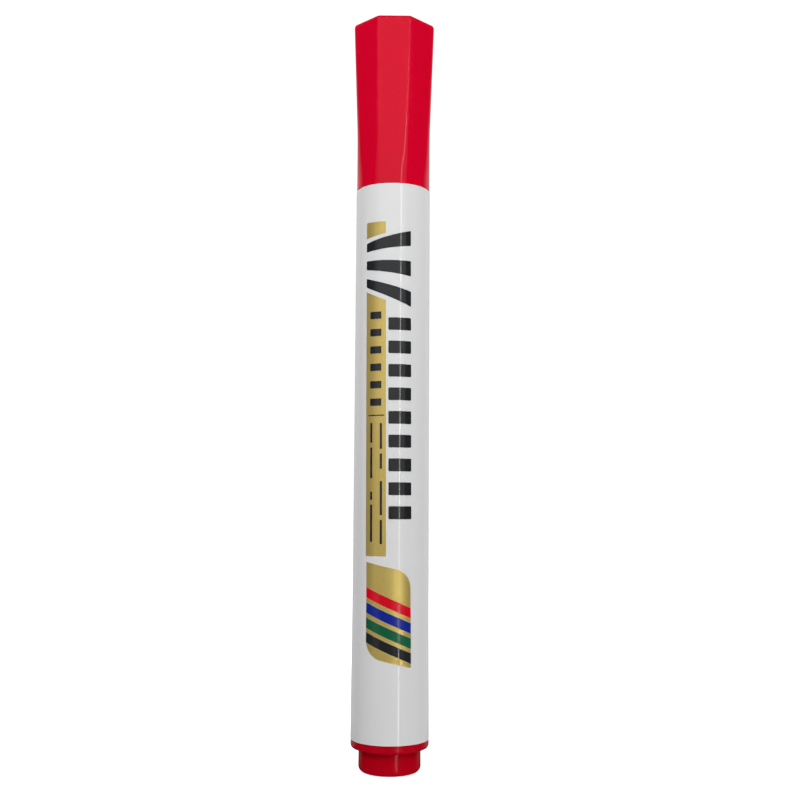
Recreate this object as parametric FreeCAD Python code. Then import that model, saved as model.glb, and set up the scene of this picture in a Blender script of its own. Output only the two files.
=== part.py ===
import FreeCAD, Part
import math
import os

V = FreeCAD.Vector

# A slim capped whiteboard marker, standing upright on the flat end of its rear plug.
# Origin: centre of that flat end. +Z: along the axis towards the closed end of the cap.
# One flat of the octagonal cap faces -Y. All lengths are in millimetres.

# ---------------------------------------------------------------- driving dimensions
LENGTH = 138.0          # overall, cap on

# rear plug
KNOB_R = 5.60           # knob on which the cap is posted
KNOB_EDGE = 1.0         # rounding of its free end
KNOB_TOP = 4.20         # height of the knob, up to the flange
KNOB_ROOT = 0.35        # hollow fillet under the flange
FLANGE_R = 7.05
FLANGE_EDGE = 0.60
PLUG_SEAM = 5.68        # where the flange meets the barrel's end
SPIGOT_R = 5.74
SPIGOT_RING_R = 5.86    # sealing rings, 0.06 over the bore
SPIGOT_END = 15.90
PLUG_BORE_R = 4.55
PLUG_FLOOR = 1.30       # thickness of the closed end

# barrel
BARREL_R = 6.92         # straight main length
BARREL_REAR_R = 7.07    # slightly larger at the rear
BARREL_STRAIGHT_FROM = 38.0
BARREL_REAR_TO = 12.0
BARREL_END = 106.17     # shoulder that the cap's mouth sits against
BARREL_BORE_R = 5.80
NECK_R = 5.62
NECK_BEAD_R = 5.70      # snap bead
NECK_BEAD_Z = 110.1
NECK_END = 114.20
NECK_BORE_R = 4.85
BORE_STEP_LOW = 103.90  # inner cone between the two bores
BORE_STEP_HIGH = 104.85
RIBS = 6                # ribs that centre the reservoir in the bore
RIB_TIP_R = 5.26
RIB_WIDTH = 0.70
RIB_FROM, RIB_TO = 21.0, 99.0

# nib holder
HOLDER_REAR = 103.80
HOLDER_SPIGOT_R = 4.80
HOLDER_RING_R = 4.90
HOLDER_FLANGE_R = 5.00
HOLDER_FLANGE_T = 1.00
LAND_R = 3.62           # the land that the inner cap seals on
LAND_FROM, LAND_TO = 116.60, 121.40
HOLDER_FRONT = 125.00
HOLDER_FRONT_R = 2.98
NIB_BORE_R = 2.41
CHAMBER_R = 3.60        # overflow chamber behind the nib bore
CHAMBER_TO = 110.0

# nib
NIB_R = 2.40
NIB_TIP = 130.60
NIB_TIP_R = 1.15         # round end
NIB_CONE = 32.0          # half angle of the cone behind it, degrees
NIB_SHOULDER = 2.0       # rounding between the cone and the rod
NIB_TAIL_R = 1.75
NIB_TAIL_END = 95.8

# reservoir
CORE_R = 5.08
CORE_FROM, CORE_TO = 15.95, 103.75
FILM_IN_R, FILM_OUT_R = 5.10, 5.22

# cap
CAP_MOUTH = 106.20
CAP_BORE_R = 5.76       # runs on the neck's bead with 0.06 to spare
CAP_GROOVE_R = 5.86     # the bead rests in this groove
CAP_LINER_R = 5.30      # narrower bore that holds the inner cap
CAP_LINER_FROM = 115.80
CAP_RETAIN_R = 5.10     # bead that keeps the inner cap in
CAP_INNER_END = 136.60
CAP_CROWN = 0.70        # rounding between the flats and the end face
CAP_FACETS = 8

# Outer shape of the cap, from mouth to closed end: height, half the width across flats, corner radius.
# The corner radius grows until the octagon has become a circle at the mouth.
CAP_STATIONS = [
    (106.20, 6.860, 6.700),
    (107.60, 6.850, 6.580),
    (109.00, 6.840, 6.200),
    (110.40, 6.830, 5.350),
    (111.90, 6.820, 4.400),
    (113.80, 6.810, 3.550),
    (115.70, 6.815, 3.020),
    (117.70, 6.845, 2.620),
    (119.60, 6.905, 2.300),
    (121.90, 6.985, 1.960),
    (124.50, 7.075, 1.680),
    (127.50, 7.175, 1.420),
    (131.00, 7.300, 1.190),
    (134.40, 7.420, 1.040),
    (138.00, 7.560, 0.950),
]

# inner cap
LINER_MOUTH = 117.00
LINER_END = 136.40
LINER_COLLAR_R = 5.24   # two collars that fit the shell with 0.06 to spare
LINER_R = 4.85
LINER_LIP_R = 3.70      # seals on the nib holder's land
LINER_LIP_TO = 120.6
LINER_BORE_R = 3.95
LINER_FLOOR = 135.60


# ---------------------------------------------------------------- helpers
def outline(points):
    """Closed profile in the XZ plane from (radius, height, rounding) corners, as a face."""
    n = len(points)
    cut = []
    for i, (r, z, fillet) in enumerate(points):
        p = V(r, 0, z)
        if not fillet:
            cut.append((p, p, None))
            continue
        a = V(points[i - 1][0], 0, points[i - 1][1]) - p
        b = V(points[(i + 1) % n][0], 0, points[(i + 1) % n][1]) - p
        a.normalize()
        b.normalize()
        angle = a.getAngle(b)
        reach = fillet / math.tan(angle / 2)
        middle = a + b
        middle.normalize()
        centre = p + middle * (fillet / math.sin(angle / 2))
        cut.append((p + a * reach, p + b * reach, centre - middle * fillet))
    edges = []
    for i in range(n):
        start, end, top = cut[i]
        if top is not None:
            edges.append(Part.Arc(start, top, end).toShape())
        nxt = cut[(i + 1) % n][0]
        if (nxt - end).Length > 1e-7:
            edges.append(Part.LineSegment(end, nxt).toShape())
    return Part.Face(Part.Wire(edges))


def turned(points):
    """Solid of revolution about Z."""
    return outline(points).revolve(V(0, 0, 0), V(0, 0, 1), 360)


def dish(r, depth, z, up):
    """Shallow spherical hollow of radius r on the axis, for the gate mark of a moulding."""
    ball = (r * r + depth * depth) / (2 * depth)
    centre = z + (ball - depth) * (1 if up else -1)
    return Part.makeSphere(ball, V(0, 0, centre))


def radial_bar(inner, outer, width, low, high, angle):
    bar = Part.makeBox(outer - inner, width, high - low, V(inner, -width / 2, low))
    bar.rotate(V(0, 0, 0), V(0, 0, 1), angle)
    return bar


def octagon(z, apothem, corner):
    """Wire of the cap's outer section: flats joined by tangent arcs, one flat centred on -Y."""
    half = math.pi / CAP_FACETS
    flat = (apothem - corner) * math.tan(half)      # half of a flat's length
    edges = []
    for k in range(CAP_FACETS):
        phi = -math.pi / 2 + 2 * half * k           # direction of this flat's normal
        n = V(math.cos(phi), math.sin(phi), 0)
        t = V(-math.sin(phi), math.cos(phi), 0)
        a = n * apothem - t * flat + V(0, 0, z)
        b = n * apothem + t * flat + V(0, 0, z)
        edges.append(Part.LineSegment(a, b).toShape())
        phi2 = phi + 2 * half
        n2 = V(math.cos(phi2), math.sin(phi2), 0)
        t2 = V(-math.sin(phi2), math.cos(phi2), 0)
        c = n2 * apothem - t2 * flat + V(0, 0, z)
        mid = V(math.cos(phi + half), math.sin(phi + half), 0)
        centre = mid * ((apothem - corner) / math.cos(half))
        m = centre + mid * corner + V(0, 0, z)
        edges.append(Part.Arc(b, m, c).toShape())
    return Part.Wire(edges)


# ---------------------------------------------------------------- rear plug
plug = turned([
    (0, 0, 0),
    (KNOB_R, 0, KNOB_EDGE),
    (KNOB_R, KNOB_TOP, KNOB_ROOT),
    (FLANGE_R, KNOB_TOP, FLANGE_EDGE),
    (FLANGE_R, PLUG_SEAM, 0.06),
    (SPIGOT_R, PLUG_SEAM, 0),
    (SPIGOT_R, 7.9, 0),
    (SPIGOT_RING_R, 8.2, 0),
    (SPIGOT_RING_R, 8.6, 0),
    (SPIGOT_R, 8.9, 0),
    (SPIGOT_R, 11.3, 0),
    (SPIGOT_RING_R, 11.6, 0),
    (SPIGOT_RING_R, 12.0, 0),
    (SPIGOT_R, 12.3, 0),
    (SPIGOT_R, 15.2, 0),
    (SPIGOT_R - 0.45, SPIGOT_END, 0),
    (PLUG_BORE_R, SPIGOT_END, 0),
    (PLUG_BORE_R - 0.10, PLUG_FLOOR, 0.4),
    (0, PLUG_FLOOR, 0),
])
# cross ribs in the hollow spigot, which press on the reservoir's end
for k in range(2):
    plug = plug.fuse(Part.makeBox(2 * PLUG_BORE_R + 0.4, 0.8, SPIGOT_END - 6.0,
                                  V(-PLUG_BORE_R - 0.2, -0.4, 6.0)).rotate(V(0, 0, 0), V(0, 0, 1), 90 * k))
plug = plug.cut(dish(1.1, 0.25, 0, False)).removeSplitter()

# ---------------------------------------------------------------- barrel
barrel = turned([
    (BARREL_REAR_R, PLUG_SEAM, 0.08),
    (BARREL_REAR_R, BARREL_REAR_TO, 0),
    (BARREL_R, BARREL_STRAIGHT_FROM, 0),
    (BARREL_R, BARREL_END, 0.12),
    (NECK_R, BARREL_END, 0.15),
    (NECK_R, NECK_BEAD_Z - 0.75, 0),
    (NECK_BEAD_R, NECK_BEAD_Z - 0.25, 0),
    (NECK_BEAD_R, NECK_BEAD_Z + 0.25, 0),
    (NECK_R, NECK_BEAD_Z + 0.75, 0),
    (NECK_R, NECK_END - 0.35, 0),
    (NECK_R - 0.30, NECK_END, 0),
    (NECK_BORE_R, NECK_END, 0),
    (NECK_BORE_R, BORE_STEP_HIGH, 0),
    (BARREL_BORE_R, BORE_STEP_LOW, 0),
    (BARREL_BORE_R, PLUG_SEAM, 0.10),
])
ribs = [radial_bar(RIB_TIP_R, BARREL_BORE_R + 0.3, RIB_WIDTH, RIB_FROM, RIB_TO, 360.0 / RIBS * k)
        for k in range(RIBS)]
barrel = barrel.fuse(ribs).removeSplitter()

# ---------------------------------------------------------------- nib holder
holder = turned([
    (CHAMBER_R, HOLDER_REAR, 0),
    (HOLDER_SPIGOT_R - 0.35, HOLDER_REAR, 0),
    (HOLDER_SPIGOT_R, HOLDER_REAR + 0.8, 0),
    (HOLDER_SPIGOT_R, 108.2, 0),
    (HOLDER_RING_R, 108.5, 0),
    (HOLDER_RING_R, 109.1, 0),
    (HOLDER_SPIGOT_R, 109.4, 0),
    (HOLDER_SPIGOT_R, NECK_END, 0),
    (HOLDER_FLANGE_R, NECK_END, 0),
    (HOLDER_FLANGE_R, NECK_END + HOLDER_FLANGE_T, 0.30),
    (4.35, NECK_END + HOLDER_FLANGE_T, 0.20),
    (LAND_R, LAND_FROM, 0.30),
    (LAND_R, LAND_TO, 0.60),
    (HOLDER_FRONT_R, HOLDER_FRONT, 0.22),
    (NIB_BORE_R, HOLDER_FRONT, 0),
    (NIB_BORE_R, CHAMBER_TO, 0),
    (CHAMBER_R, CHAMBER_TO - 0.8, 0),
])
# air-vent grooves along the spigot and under the flange
for k in range(4):
    holder = holder.cut(radial_bar(HOLDER_SPIGOT_R - 0.30, HOLDER_RING_R + 0.3, 0.6,
                                   HOLDER_REAR - 0.1, NECK_END - 0.01, 45 + 90 * k))
holder = holder.removeSplitter()

# ---------------------------------------------------------------- nib
# a round tip, a short cone and a rounded shoulder, all tangent
slope = math.radians(NIB_CONE)
tip_centre = NIB_TIP - NIB_TIP_R
touch_r, touch_z = NIB_TIP_R * math.cos(slope), tip_centre + NIB_TIP_R * math.sin(slope)
shoulder_z = touch_z - (NIB_R - touch_r) / math.tan(slope)
reach = NIB_SHOULDER * math.tan(slope / 2)
s0 = V(NIB_R, 0, shoulder_z - reach)
s1 = V(NIB_R - reach * math.sin(slope), 0, shoulder_z + reach * math.cos(slope))
sm = V(NIB_R - NIB_SHOULDER * (1 - math.cos(slope / 2)), 0,
       shoulder_z - reach + NIB_SHOULDER * math.sin(slope / 2))
half_up = (slope + math.pi / 2) / 2
corners = [V(0, 0, NIB_TAIL_END), V(0.55, 0, NIB_TAIL_END), V(NIB_TAIL_R, 0, NIB_TAIL_END + 2.2),
           V(NIB_TAIL_R, 0, 106.0), V(NIB_R, 0, 107.4), s0]
edges = [Part.LineSegment(a, b).toShape() for a, b in zip(corners, corners[1:])]
edges += [
    Part.Arc(s0, sm, s1).toShape(),
    Part.LineSegment(s1, V(touch_r, 0, touch_z)).toShape(),
    Part.Arc(V(touch_r, 0, touch_z),
             V(NIB_TIP_R * math.cos(half_up), 0, tip_centre + NIB_TIP_R * math.sin(half_up)),
             V(0, 0, NIB_TIP)).toShape(),
    Part.LineSegment(V(0, 0, NIB_TIP), corners[0]).toShape(),
]
nib = Part.Face(Part.Wire(edges)).revolve(V(0, 0, 0), V(0, 0, 1), 360)

# ---------------------------------------------------------------- reservoir and its film
reservoir = Part.makeCylinder(CORE_R, CORE_TO - CORE_FROM, V(0, 0, CORE_FROM))
# the hole that the nib's tail opens in the fibre
tail_hole = turned([
    (0, NIB_TAIL_END - 0.05, 0),
    (0.56, NIB_TAIL_END - 0.05, 0),
    (NIB_TAIL_R + 0.01, NIB_TAIL_END + 2.2, 0),
    (NIB_TAIL_R + 0.01, CORE_TO + 1, 0),
    (0, CORE_TO + 1, 0),
])
reservoir = reservoir.cut(tail_hole)
film = Part.makeCylinder(FILM_OUT_R, CORE_TO - CORE_FROM - 1.0, V(0, 0, CORE_FROM + 0.5)).cut(
    Part.makeCylinder(FILM_IN_R, CORE_TO - CORE_FROM, V(0, 0, CORE_FROM)))

# ---------------------------------------------------------------- cap shell
cap = Part.makeLoft([octagon(*s) for s in CAP_STATIONS], True, False)
top_edges = [e for e in cap.Edges
             if all(abs(v.Point.z - LENGTH) < 1e-6 for v in e.Vertexes)]
cap = cap.makeFillet(CAP_CROWN, top_edges)
mouth_edges = [e for e in cap.Edges
               if all(abs(v.Point.z - CAP_MOUTH) < 1e-6 for v in e.Vertexes)]
hollow = turned([
    (0, CAP_MOUTH - 1.0, 0),
    (CAP_BORE_R + 0.25, CAP_MOUTH - 1.0, 0),
    (CAP_BORE_R + 0.25, CAP_MOUTH, 0),
    (CAP_BORE_R, CAP_MOUTH + 0.35, 0),
    (CAP_BORE_R, NECK_BEAD_Z - 0.95, 0),
    (CAP_GROOVE_R, NECK_BEAD_Z - 0.35, 0),
    (CAP_GROOVE_R, NECK_BEAD_Z + 0.35, 0),
    (CAP_BORE_R, NECK_BEAD_Z + 0.95, 0),
    (CAP_BORE_R, CAP_LINER_FROM - 0.46, 0),
    (CAP_LINER_R, CAP_LINER_FROM, 0),
    (CAP_LINER_R, CAP_LINER_FROM + 0.35, 0),
    (CAP_RETAIN_R, CAP_LINER_FROM + 0.55, 0),
    (CAP_RETAIN_R, CAP_LINER_FROM + 0.75, 0),
    (CAP_LINER_R, CAP_LINER_FROM + 0.95, 0),
    (CAP_LINER_R, CAP_INNER_END, 0.30),
    (0, CAP_INNER_END, 0),
])
cap = cap.cut(hollow).cut(dish(1.3, 0.22, LENGTH, True))

# ---------------------------------------------------------------- inner cap
liner = turned([
    (LINER_LIP_R + 0.25, LINER_MOUTH, 0),
    (LINER_COLLAR_R, LINER_MOUTH, 0.12),
    (LINER_COLLAR_R, 119.60, 0),
    (LINER_R, 120.10, 0),
    (LINER_R, 132.90, 0),
    (LINER_COLLAR_R, 133.40, 0),
    (LINER_COLLAR_R, LINER_END, 0.40),
    (0, LINER_END, 0),
    (0, LINER_FLOOR, 0),
    (LINER_BORE_R, LINER_FLOOR, 0.50),
    (LINER_BORE_R, LINER_LIP_TO + 0.5, 0),
    (LINER_LIP_R, LINER_LIP_TO, 0),
    (LINER_LIP_R, LINER_MOUTH + 0.30, 0),
])

# ---------------------------------------------------------------- export
PARTS = {
    "cap_shell": cap,
    "inner_cap": liner,
    "barrel": barrel,
    "nib_holder": holder,
    "nib": nib,
    "reservoir": reservoir,
    "reservoir_film": film,
    "end_plug": plug,
}

os.makedirs("parts", exist_ok=True)
for name, shape in PARTS.items():
    solids = shape.Solids
    assert len(solids) == 1, (name, len(solids))
    assert shape.isValid(), name
    solids[0].exportStep("parts/%s.step" % name)
    b = shape.BoundBox
    print("%-15s volume %9.2f mm3  x %.3f..%.3f  y %.3f..%.3f  z %.3f..%.3f  faces %d" % (
        name, shape.Volume, b.XMin, b.XMax, b.YMin, b.YMax, b.ZMin, b.ZMax, len(shape.Faces)))
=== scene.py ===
import math
import bpy
import numpy as np
from mathutils import Matrix, Vector


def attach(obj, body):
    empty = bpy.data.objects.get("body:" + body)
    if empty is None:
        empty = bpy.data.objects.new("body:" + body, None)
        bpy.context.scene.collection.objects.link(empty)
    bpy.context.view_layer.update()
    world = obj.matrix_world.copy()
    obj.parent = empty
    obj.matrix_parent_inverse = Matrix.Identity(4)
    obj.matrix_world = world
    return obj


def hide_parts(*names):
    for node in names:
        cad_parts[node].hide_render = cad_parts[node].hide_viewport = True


# A slim whiteboard marker with its cap on, standing upright. Metres, +Z along the axis, the print faces -Y.
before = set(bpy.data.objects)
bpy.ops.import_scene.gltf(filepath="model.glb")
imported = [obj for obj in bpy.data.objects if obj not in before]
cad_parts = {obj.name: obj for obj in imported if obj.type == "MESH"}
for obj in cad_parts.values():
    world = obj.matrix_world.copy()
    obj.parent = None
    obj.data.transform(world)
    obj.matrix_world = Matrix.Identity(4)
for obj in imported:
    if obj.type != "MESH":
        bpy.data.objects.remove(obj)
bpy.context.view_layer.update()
MM = 0.001
RAD = math.pi / 180


# ================================================================ mesh code
class Rings:
    """A solid made of closed rings of points joined band by band. A ring is an (N, 3) array, or one point for a pole.
    Each band has its own exact normals at both of its rings, so flats stay flat and fillets stay round.
    The attribute "wear" is 1 on outer edges and 0 elsewhere."""

    def __init__(self, count):
        self.n = count
        self.co, self.wear, self.at = [], [], []
        self.faces, self.normals = [], []

    def ring(self, points, wear=0.0):
        points = np.atleast_2d(np.asarray(points, float))
        self.at.append((len(self.co), len(points)))
        wear = np.broadcast_to(np.asarray(wear, float), (len(points),))
        self.co.extend(points.tolist())
        self.wear.extend(wear.tolist())
        return len(self.at) - 1

    def band(self, a, b, na=None, nb=None):
        """Faces between ring a and ring b. na and nb are (N, 3) normals, or None for flat faces."""
        sa, ca = self.at[a]
        sb, cb = self.at[b]
        n = self.n
        for j in range(n):
            k = (j + 1) % n
            if ca == 1:
                face, rows = (sa, sb + k, sb + j), (("a", j, k), ("b", k, k), ("b", j, j))
            elif cb == 1:
                face, rows = (sa + j, sa + k, sb), (("a", j, j), ("a", k, k), ("b", j, k))
            else:
                face = (sa + j, sa + k, sb + k, sb + j)
                rows = (("a", j, j), ("a", k, k), ("b", k, k), ("b", j, j))
            self.faces.append(face)
            if na is None:
                self.normals.extend([self.flat(face)] * len(face))
            else:
                for side, p, q in rows:
                    v = (na if side == "a" else nb)
                    v = v[p] + v[q]
                    self.normals.append((v / np.linalg.norm(v)).tolist())

    def flat(self, face):
        p = [np.array(self.co[i]) for i in face]
        v = np.cross(p[2] - p[0], (p[3] if len(p) > 3 else p[1]) - (p[1] if len(p) > 3 else p[0]))
        if len(p) == 3:
            v = np.cross(p[1] - p[0], p[2] - p[0])
        length = np.linalg.norm(v)
        return (v / length).tolist() if length > 0 else [0.0, 0.0, 1.0]

    def prism(self, corners, low, high, wear=0.0):
        """A closed prism on a convex or star-shaped polygon, counter-clockwise from above."""
        m = len(corners)
        s = len(self.co)
        mid = np.mean(np.array(corners, float), axis=0)
        for z in (low, high):
            self.co.extend([[x, y, z] for x, y in corners])
        self.co.extend([[mid[0], mid[1], low], [mid[0], mid[1], high]])
        self.wear.extend([wear] * (2 * m + 2))
        for i in range(m):
            k = (i + 1) % m
            for face in ((s + i, s + k, s + m + k, s + m + i), (s + 2 * m, s + k, s + i),
                         (s + 2 * m + 1, s + m + i, s + m + k)):
                self.faces.append(face)
                self.normals.extend([self.flat(face)] * len(face))

    def make(self, name, scale=MM):
        mesh = bpy.data.meshes.new(name)
        mesh.from_pydata((np.array(self.co) * scale).tolist(), [], self.faces)
        attribute = mesh.attributes.new("wear", "FLOAT", "POINT")
        attribute.data.foreach_set("value", np.array(self.wear, np.float32))
        mesh.polygons.foreach_set("use_smooth", [True] * len(mesh.polygons))
        mesh.normals_split_custom_set(self.normals)
        mesh.update()
        ob = bpy.data.objects.new(name, mesh)
        bpy.context.scene.collection.objects.link(ob)
        return ob


def spans(points, closed, turn=11.0, longest=3.0, near=0.35):
    """Samples a profile of (radius, height, rounding) corners, counter-clockwise in the half plane.
    Returns stations [(r, z, wear)] and bands [(i, j, normal at i, normal at j)]."""
    n = len(points)
    p = [np.array(q[:2], float) for q in points]
    cut = []
    for i in range(n):
        before, after = p[i - 1] - p[i], p[(i + 1) % n] - p[i]
        ends = not closed and i in (0, n - 1)
        before, after = before / max(np.linalg.norm(before), 1e-12), after / max(np.linalg.norm(after), 1e-12)
        left = (-before[0]) * after[1] - (-before[1]) * after[0]
        fillet = points[i][2] if len(points[i]) > 2 else 0
        if fillet and not ends:
            angle = math.acos(max(-1.0, min(1.0, float(before @ after))))
            reach = fillet / math.tan(angle / 2)
            middle = before + after
            middle = middle / np.linalg.norm(middle)
            centre = p[i] + middle * (fillet / math.sin(angle / 2))
            cut.append((p[i] + before * reach, p[i] + after * reach, centre, left > 0, fillet))
        else:
            cut.append((p[i], p[i], None, left > 0.02 and not ends, 0))
    stations, bands = [], []

    def add(q, wear):
        if stations and np.linalg.norm(np.array(stations[-1][:2]) - q) < 1e-7:
            stations[-1] = (stations[-1][0], stations[-1][1], max(stations[-1][2], wear))
            return len(stations) - 1
        stations.append((float(q[0]), float(q[1]), wear))
        return len(stations) - 1

    for i in range(n):
        start, end, centre, convex, fillet = cut[i]
        here = add(start, 1.0 if convex else 0.0)
        if centre is not None:
            a0 = math.atan2(*(start - centre)[::-1])
            a1 = math.atan2(*(end - centre)[::-1])
            sweep = (a1 - a0 + math.pi) % (2 * math.pi) - math.pi
            steps = max(2, int(math.ceil(abs(sweep) / (turn * RAD))))
            sign = 1.0 if convex else -1.0
            for s in range(1, steps + 1):
                a = a0 + sweep * s / steps
                b = a0 + sweep * (s - 1) / steps
                q = centre + fillet * np.array([math.cos(a), math.sin(a)])
                there = add(q, 1.0 if convex else 0.0)
                bands.append((here, there, (sign * math.cos(b), sign * math.sin(b)), (sign * math.cos(a), sign * math.sin(a))))
                here = there
        if i == n - 1 and not closed:
            break
        nxt, nxt_convex = cut[(i + 1) % n][0], cut[(i + 1) % n][3]
        d = nxt - end
        length = float(np.linalg.norm(d))
        if length < 1e-7:
            continue
        normal = (float(d[1]) / length, -float(d[0]) / length)
        marks = [0.0]
        if length > 3 * near:
            inner = np.linspace(near, length - near, max(2, int(math.ceil((length - 2 * near) / longest)) + 1))
            marks += inner.tolist()
        marks.append(length)
        for m in marks[1:]:
            last = m == length
            if last and i == n - 1:
                there = 0
                stations[0] = (stations[0][0], stations[0][1], max(stations[0][2], 1.0 if nxt_convex else 0.0))
            else:
                there = add(end + d * (m / length), (1.0 if nxt_convex else 0.0) if last else 0.0)
            if there != here:
                bands.append((here, there, normal, normal))
            here = there
    return stations, bands


def circle(r, z, theta):
    return np.stack([r * np.cos(theta), r * np.sin(theta), np.full(len(theta), z)], 1)


def around(normal, theta):
    return np.stack([normal[0] * np.cos(theta), normal[0] * np.sin(theta), np.full(len(theta), normal[1])], 1)


def turned(rings, points, theta, closed=False, shape=None, **how):
    """Adds a solid of revolution. shape(r, z) may return N radii for a ring that isn't round."""
    stations, bands = spans(points, closed, **how)
    index, uneven = [], []
    for r, z, wear in stations:
        radii = shape(r, z) if shape else None
        uneven.append(radii is not None)
        if r < 1e-9:
            index.append(rings.ring([[0.0, 0.0, z]], wear))
        elif radii is not None:
            index.append(rings.ring(np.stack([radii * np.cos(theta), radii * np.sin(theta), np.full(len(theta), z)], 1), wear))
        else:
            index.append(rings.ring(circle(r, z, theta), wear))
    for a, b, na, nb in bands:
        if uneven[a] or uneven[b]:
            rings.band(index[a], index[b])
        else:
            rings.band(index[a], index[b], around(na, theta), around(nb, theta))
    return index


def even(n, start=-math.pi / 2):
    return start + 2 * math.pi * np.arange(n) / n


def sectors(count, features, first, between):
    """Column angles with a feature, such as a rib, at each of count centres, and even columns between them."""
    width = 360.0 / count
    gap = np.linspace(features[-1], width + features[0], between + 2)[1:-1]
    return RAD * np.concatenate([first + width * k + np.concatenate([features, gap]) for k in range(count)])


# ================================================================ materials
class Nodes:
    def __init__(self, name):
        self.mat = bpy.data.materials.new(name)
        self.mat.use_nodes = True
        self.tree = self.mat.node_tree
        self.tree.nodes.clear()
        self.out = self.new("ShaderNodeOutputMaterial")

    def new(self, kind, **props):
        node = self.tree.nodes.new(kind)
        for k, v in props.items():
            setattr(node, k, v)
        return node

    def link(self, a, b):
        self.tree.links.new(a, b)

    def noise(self, scale, stretch=(1, 1, 1), detail=2.0, rough=0.5, shift=(0, 0, 0), distortion=0.0):
        place = self.new("ShaderNodeTexCoord")
        mapping = self.new("ShaderNodeMapping")
        mapping.inputs["Scale"].default_value = stretch
        mapping.inputs["Location"].default_value = shift
        self.link(place.outputs["Object"], mapping.inputs["Vector"])
        noise = self.new("ShaderNodeTexNoise")
        noise.inputs["Scale"].default_value = scale
        noise.inputs["Detail"].default_value = detail
        noise.inputs["Roughness"].default_value = rough
        noise.inputs["Distortion"].default_value = distortion
        self.link(mapping.outputs["Vector"], noise.inputs["Vector"])
        return noise.outputs["Fac"]

    def cells(self, scale, stretch=(1, 1, 1), shift=(0, 0, 0)):
        place = self.new("ShaderNodeTexCoord")
        mapping = self.new("ShaderNodeMapping")
        mapping.inputs["Scale"].default_value = stretch
        mapping.inputs["Location"].default_value = shift
        self.link(place.outputs["Object"], mapping.inputs["Vector"])
        cells = self.new("ShaderNodeTexVoronoi")
        cells.inputs["Scale"].default_value = scale
        self.link(mapping.outputs["Vector"], cells.inputs["Vector"])
        return cells.outputs["Distance"]

    def remap(self, value, a, b, c, d, smooth=False):
        node = self.new("ShaderNodeMapRange")
        node.interpolation_type = "SMOOTHSTEP" if smooth else "LINEAR"
        for name, v in zip(("From Min", "From Max", "To Min", "To Max"), (a, b, c, d)):
            node.inputs[name].default_value = v
        self.link(value, node.inputs["Value"])
        return node.outputs["Result"]

    def maths(self, operation, a, b=None, clamp=False):
        node = self.new("ShaderNodeMath", operation=operation, use_clamp=clamp)
        for i, v in enumerate((a, b)):
            if v is None:
                continue
            if isinstance(v, (int, float)):
                node.inputs[i].default_value = v
            else:
                self.link(v, node.inputs[i])
        return node.outputs[0]

    def mix(self, fac, a, b):
        node = self.new("ShaderNodeMix", data_type="RGBA")
        for socket, v in ((node.inputs["Factor"], fac), (node.inputs["A"], a), (node.inputs["B"], b)):
            if isinstance(v, (int, float)):
                socket.default_value = v
            elif isinstance(v, tuple):
                socket.default_value = (*v, 1.0)
            else:
                self.link(v, socket)
        return node.outputs["Result"]

    def wear(self):
        node = self.new("ShaderNodeAttribute", attribute_name="wear")
        return node.outputs["Fac"]

    def bump(self, layers):
        """layers: (height socket, strength, distance in metres)"""
        normal = None
        for height, strength, distance in layers:
            node = self.new("ShaderNodeBump")
            node.inputs["Strength"].default_value = strength
            node.inputs["Distance"].default_value = distance
            self.link(height, node.inputs["Height"])
            if normal is not None:
                self.link(normal, node.inputs["Normal"])
            normal = node.outputs["Normal"]
        return normal

    def shader(self, colour, roughness, normal=None, **plain):
        node = self.new("ShaderNodeBsdfPrincipled")
        self.link(colour, node.inputs["Base Color"])
        self.link(roughness, node.inputs["Roughness"])
        if normal is not None:
            self.link(normal, node.inputs["Normal"])
        for name, v in plain.items():
            node.inputs[name.replace("_", " ")].default_value = v
        self.link(node.outputs["BSDF"], self.out.inputs["Surface"])
        return self.mat


def times(colour, k):
    return tuple(min(1.0, c * k) for c in colour)


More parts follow.
